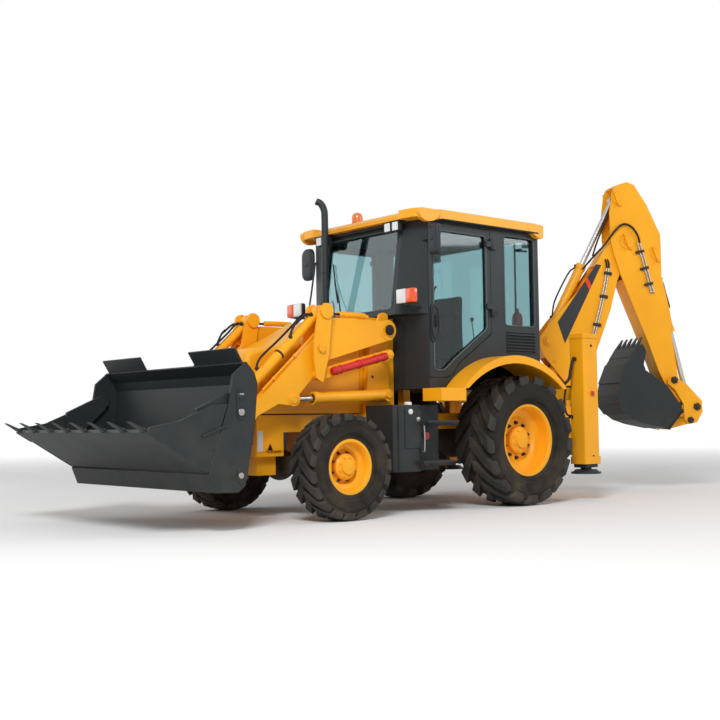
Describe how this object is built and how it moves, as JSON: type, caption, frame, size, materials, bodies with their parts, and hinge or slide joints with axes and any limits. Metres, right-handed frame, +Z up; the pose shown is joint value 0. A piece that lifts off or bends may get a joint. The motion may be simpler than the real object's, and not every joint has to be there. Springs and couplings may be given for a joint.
{
  "type": "backhoe loader",
  "caption": "Wheeled digger with a cab, front loader arms and clam bucket, vertical rear stabilizers and a folded rear digging arm swung to one side.",
  "frame": {"origin": "on the ground, under the middle of the outline seen from above", "axes": "+X forward towards the loader bucket, +Y to the machine's left, +Z up"},
  "size_m": [8.003, 2.38, 3.729],
  "materials": {
    "bucket_paint": "satin dark grey enamel, worn",
    "cast_dark": "as cast",
    "chrome": "polished",
    "dark_paint": "satin dark grey enamel",
    "glass": "tinted clear",
    "interior_plastic": "grained",
    "lamp_lens": "clear",
    "red_paint": "gloss red enamel",
    "seat_fabric": "woven",
    "steel": "machined",
    "tyre": "matte",
    "yellow_paint": "satin yellow enamel"
  },
  "bodies": {
    "chassis": {"main_frame": "yellow_paint", "stabilizer_housings": "yellow_paint", "engine_block": "cast_dark", "engine_cowl": "yellow_paint", "exhaust_stack": "dark_paint", "cab_frame": "dark_paint", "cab_roof": "yellow_paint", "cab_windows": "glass", "rear_fenders": "yellow_paint", "dashboard": "interior_plastic", "steering_wheel": "interior_plastic", "seat_base": "interior_plastic", "seat_cushion": "seat_fabric", "seat_back": "seat_fabric", "side_boxes": "dark_paint", "lamps": "lamp_lens", "mirrors": "dark_paint", "axles": "cast_dark"},
    "hood": {"hood": "yellow_paint"},
    "left_door": {"left_door": "dark_paint", "left_door_glass": "glass"},
    "right_door": {"right_door": "dark_paint", "right_door_glass": "glass"},
    "left_knuckle": {"left_knuckle": "cast_dark"},
    "right_knuckle": {"right_knuckle": "cast_dark"},
    "front_left_wheel": {"front_left_rim": "yellow_paint", "front_left_tyre": "tyre"},
    "front_right_wheel": {"front_right_rim": "yellow_paint", "front_right_tyre": "tyre"},
    "rear_left_wheel": {"rear_left_rim": "yellow_paint", "rear_left_tyre": "tyre"},
    "rear_right_wheel": {"rear_right_rim": "yellow_paint", "rear_right_tyre": "tyre"},
    "loader_arms": {"loader_arms": "yellow_paint"},
    "bell_cranks": {"bell_cranks": "yellow_paint"},
    "leveling_links": {"leveling_links": "yellow_paint", "safety_strut": "red_paint"},
    "lift_ram_barrels": {"lift_ram_barrels": "yellow_paint"},
    "lift_ram_rods": {"lift_ram_rods": "chrome"},
    "tilt_ram_pins": {"tilt_ram_pins": "steel"},
    "tilt_ram_barrels": {"tilt_ram_barrels": "yellow_paint"},
    "tilt_ram_rods": {"tilt_ram_rods": "chrome"},
    "bucket_pins": {"bucket_pins": "steel"},
    "loader_bucket": {"loader_bucket": "bucket_paint"},
    "bucket_jaw": {"bucket_jaw": "bucket_paint"},
    "left_stabilizer": {"left_stabilizer": "dark_paint"},
    "right_stabilizer": {"right_stabilizer": "dark_paint"},
    "slide_carriage": {"slide_carriage": "yellow_paint"},
    "kingpost": {"kingpost": "yellow_paint"},
    "boom": {"boom": "yellow_paint"},
    "dipper": {"dipper": "yellow_paint"},
    "hoe_levers": {"hoe_levers": "yellow_paint"},
    "hoe_link": {"hoe_link": "yellow_paint"},
    "hoe_bucket": {"hoe_bucket": "bucket_paint"},
    "boom_ram_barrel": {"boom_ram_barrel": "yellow_paint"},
    "boom_ram_rod": {"boom_ram_rod": "chrome"},
    "dipper_ram_barrel": {"dipper_ram_barrel": "yellow_paint"},
    "dipper_ram_rod": {"dipper_ram_rod": "chrome"},
    "hoe_bucket_ram_barrel": {"hoe_bucket_ram_barrel": "yellow_paint"},
    "hoe_bucket_ram_rod": {"hoe_bucket_ram_rod": "chrome"}
  },
  "joints": [
    {"name": "steering_left", "type": "hinge", "parent": "chassis", "child": "left_knuckle", "pos_m": [1.7565, 0.72, 0.4785], "axis": [0, 0, 1], "range_deg": [-36, 36]},
    {"name": "steering_right", "type": "hinge", "parent": "chassis", "child": "right_knuckle", "pos_m": [1.7565, -0.72, 0.4785], "axis": [0, 0, 1], "range_deg": [-37, 37]},
    {"name": "front_left_wheel_spin", "type": "hinge", "parent": "left_knuckle", "child": "front_left_wheel", "pos_m": [1.7565, 0.93, 0.4785], "axis": [0, 1, 0], "continuous": true},
    {"name": "front_right_wheel_spin", "type": "hinge", "parent": "right_knuckle", "child": "front_right_wheel", "pos_m": [1.7565, -0.93, 0.4785], "axis": [0, 1, 0], "continuous": true},
    {"name": "rear_left_wheel_spin", "type": "hinge", "parent": "chassis", "child": "rear_left_wheel", "pos_m": [-0.5935, 0.895, 0.665], "axis": [0, 1, 0], "continuous": true},
    {"name": "rear_right_wheel_spin", "type": "hinge", "parent": "chassis", "child": "rear_right_wheel", "pos_m": [-0.5935, -0.895, 0.665], "axis": [0, 1, 0], "continuous": true},
    {"name": "hood_hinge", "type": "hinge", "parent": "chassis", "child": "hood", "pos_m": [1.0915, 0, 1.916], "axis": [0, 1, 0], "range_deg": [-50, 0]},
    {"name": "left_door_hinge", "type": "hinge", "parent": "chassis", "child": "left_door", "pos_m": [-0.3015, 0.898, 2], "axis": [0, 0, 1], "range_deg": [0, 80]},
    {"name": "right_door_hinge", "type": "hinge", "parent": "chassis", "child": "right_door", "pos_m": [-0.3015, -0.898, 2], "axis": [0, 0, -1], "range_deg": [0, 80]},
    {"name": "loader_lift", "type": "hinge", "parent": "chassis", "child": "loader_arms", "pos_m": [0.8965, 0, 1.76], "axis": [0, -1, 0], "range_deg": [-9, 79]},
    {"name": "bell_crank_pivot", "type": "hinge", "parent": "loader_arms", "child": "bell_cranks", "pos_m": [1.7765, 0, 1.55], "axis": [0, -1, 0], "range_deg": [-80, 10]},
    {"name": "leveling_link_pivot", "type": "hinge", "parent": "chassis", "child": "leveling_links", "pos_m": [0.9115, 0, 1.52], "axis": [0, -1, 0], "range_deg": [-10, 80]},
    {"name": "bucket_pin_pivot", "type": "hinge", "parent": "loader_arms", "child": "bucket_pins", "pos_m": [2.7065, 0, 0.72], "axis": [0, -1, 0], "range_deg": [-80, 10]},
    {"name": "lift_ram_pivot", "type": "hinge", "parent": "chassis", "child": "lift_ram_barrels", "pos_m": [0.8865, 0, 1.13], "axis": [0, -1, 0], "range_deg": [-9.23, 65.43]},
    {"name": "lift_ram_slide", "type": "slide", "parent": "lift_ram_barrels", "child": "lift_ram_rods", "axis": [0.9994, 0, -0.0345], "range_m": [-0.0893, 0.706]},
    {"name": "bucket_tilt", "type": "hinge", "parent": "bucket_pins", "child": "loader_bucket", "pos_m": [2.7065, 0, 0.72], "axis": [0, 1, 0], "range_deg": [-4, 72]},
    {"name": "tilt_pin_pivot", "type": "hinge", "parent": "bell_cranks", "child": "tilt_ram_pins", "pos_m": [1.7165, 0, 1.9], "axis": [0, -1, 0], "range_deg": [-10, 80]},
    {"name": "tilt_ram_pivot", "type": "hinge", "parent": "tilt_ram_pins", "child": "tilt_ram_barrels", "pos_m": [1.7165, 0, 1.9], "axis": [0, -1, 0], "range_deg": [-2.38, 8.78]},
    {"name": "tilt_ram_slide", "type": "slide", "parent": "tilt_ram_barrels", "child": "tilt_ram_rods", "axis": [0.7461, 0, -0.6659], "range_m": [-0.0326, 0.4161]},
    {"name": "bucket_jaw", "type": "hinge", "parent": "loader_bucket", "child": "bucket_jaw", "pos_m": [3.0065, 0, 1.09], "axis": [0, -1, 0], "range_deg": [0, 65]},
    {"name": "left_stabilizer_slide", "type": "slide", "parent": "chassis", "child": "left_stabilizer", "axis": [0, 0, -1], "range_m": [0, 0.25]},
    {"name": "right_stabilizer_slide", "type": "slide", "parent": "chassis", "child": "right_stabilizer", "axis": [0, 0, -1], "range_m": [0, 0.25]},
    {"name": "side_shift", "type": "slide", "parent": "chassis", "child": "slide_carriage", "axis": [0, 1, 0], "range_m": [-0.37, 0.63]},
    {"name": "swing", "type": "hinge", "parent": "slide_carriage", "child": "kingpost", "pos_m": [-2.0435, -0.13, 0.78], "axis": [0, 0, -1], "range_deg": [-118, 62]},
    {"name": "boom_lift", "type": "hinge", "parent": "kingpost", "child": "boom", "pos_m": [-2.46732, 0.09535, 0.72], "axis": [-0.4695, -0.8829, 0], "range_deg": [0, 100]},
    {"name": "dipper_reach", "type": "hinge", "parent": "boom", "child": "dipper", "pos_m": [-3.11628, 0.44041, 3], "axis": [0.4695, 0.8829, 0], "range_deg": [0, 98]},
    {"name": "hoe_bucket_curl", "type": "hinge", "parent": "dipper", "child": "hoe_bucket", "pos_m": [-3.70786, 0.75495, 1], "axis": [0.4695, 0.8829, 0], "range_deg": [0, 165]},
    {"name": "hoe_lever_pivot", "type": "hinge", "parent": "dipper", "child": "hoe_levers", "pos_m": [-3.59307, 0.69392, 1.324], "axis": [0.4695, 0.8829, 0], "range_deg": [-1, 80.35]},
    {"name": "hoe_link_pivot", "type": "hinge", "parent": "hoe_levers", "child": "hoe_link", "pos_m": [-3.76966, 0.78782, 0.839], "axis": [0.4695, 0.8829, 0], "range_deg": [-28.87, 2]},
    {"name": "boom_ram_pivot", "type": "hinge", "parent": "kingpost", "child": "boom_ram_barrel", "pos_m": [-2.12297, -0.08775, 1.16], "axis": [-0.4695, -0.8829, 0], "range_deg": [-1, 85.93]},
    {"name": "boom_ram_slide", "type": "slide", "parent": "boom_ram_barrel", "child": "boom_ram_rod", "axis": [-0.5016, 0.2667, 0.823], "range_m": [-0.01, 0.8123]},
    {"name": "dipper_ram_pivot", "type": "hinge", "parent": "boom", "child": "dipper_ram_barrel", "pos_m": [-2.21126, -0.0408, 1.8], "axis": [0.4695, 0.8829, 0], "range_deg": [-1.68, 2]},
    {"name": "dipper_ram_slide", "type": "slide", "parent": "dipper_ram_barrel", "child": "dipper_ram_rod", "axis": [-0.4102, 0.2181, 0.8855], "range_m": [-0.8228, 0.01]},
    {"name": "hoe_bucket_ram_pivot", "type": "hinge", "parent": "dipper", "child": "hoe_bucket_ram_barrel", "pos_m": [-3.44739, 0.61646, 2.85], "axis": [0.4695, 0.8829, 0], "range_deg": [-1, 10.66]},
    {"name": "hoe_bucket_ram_slide", "type": "slide", "parent": "hoe_bucket_ram_barrel", "child": "hoe_bucket_ram_rod", "axis": [-0.2109, 0.1121, -0.9711], "range_m": [-0.5002, 0.01]}
  ],
  "couplings": [
    {"joint": "steering_right", "follows": "steering_left", "ratio": 1},
    {"joint": "bell_crank_pivot", "follows": "loader_lift", "ratio": -1},
    {"joint": "leveling_link_pivot", "follows": "loader_lift", "ratio": 1},
    {"joint": "bucket_pin_pivot", "follows": "loader_lift", "ratio": -1},
    {"joint": "tilt_pin_pivot", "follows": "loader_lift", "ratio": 1},
    {"joint": "lift_ram_pivot", "follows": "loader_lift", "ratio": 0.80295},
    {"joint": "lift_ram_slide", "follows": "loader_lift", "m_per_rad": 0.50477},
    {"joint": "tilt_ram_pivot", "follows": "bucket_tilt", "ratio": 0.0941},
    {"joint": "tilt_ram_slide", "follows": "bucket_tilt", "m_per_rad": 0.32314},
    {"joint": "hoe_lever_pivot", "follows": "hoe_bucket_curl", "ratio": 0.47482},
    {"joint": "hoe_link_pivot", "follows": "hoe_bucket_curl", "ratio": -0.16284},
    {"joint": "hoe_bucket_ram_pivot", "follows": "hoe_bucket_curl", "ratio": 0.052474},
    {"joint": "hoe_bucket_ram_slide", "follows": "hoe_bucket_curl", "m_per_rad": -0.17023},
    {"joint": "boom_ram_pivot", "follows": "boom_lift", "ratio": 0.83927},
    {"joint": "boom_ram_slide", "follows": "boom_lift", "m_per_rad": 0.45967},
    {"joint": "dipper_ram_pivot", "follows": "dipper_reach", "ratio": 0.003228},
    {"joint": "dipper_ram_slide", "follows": "dipper_reach", "m_per_rad": -0.47523}
  ]
}
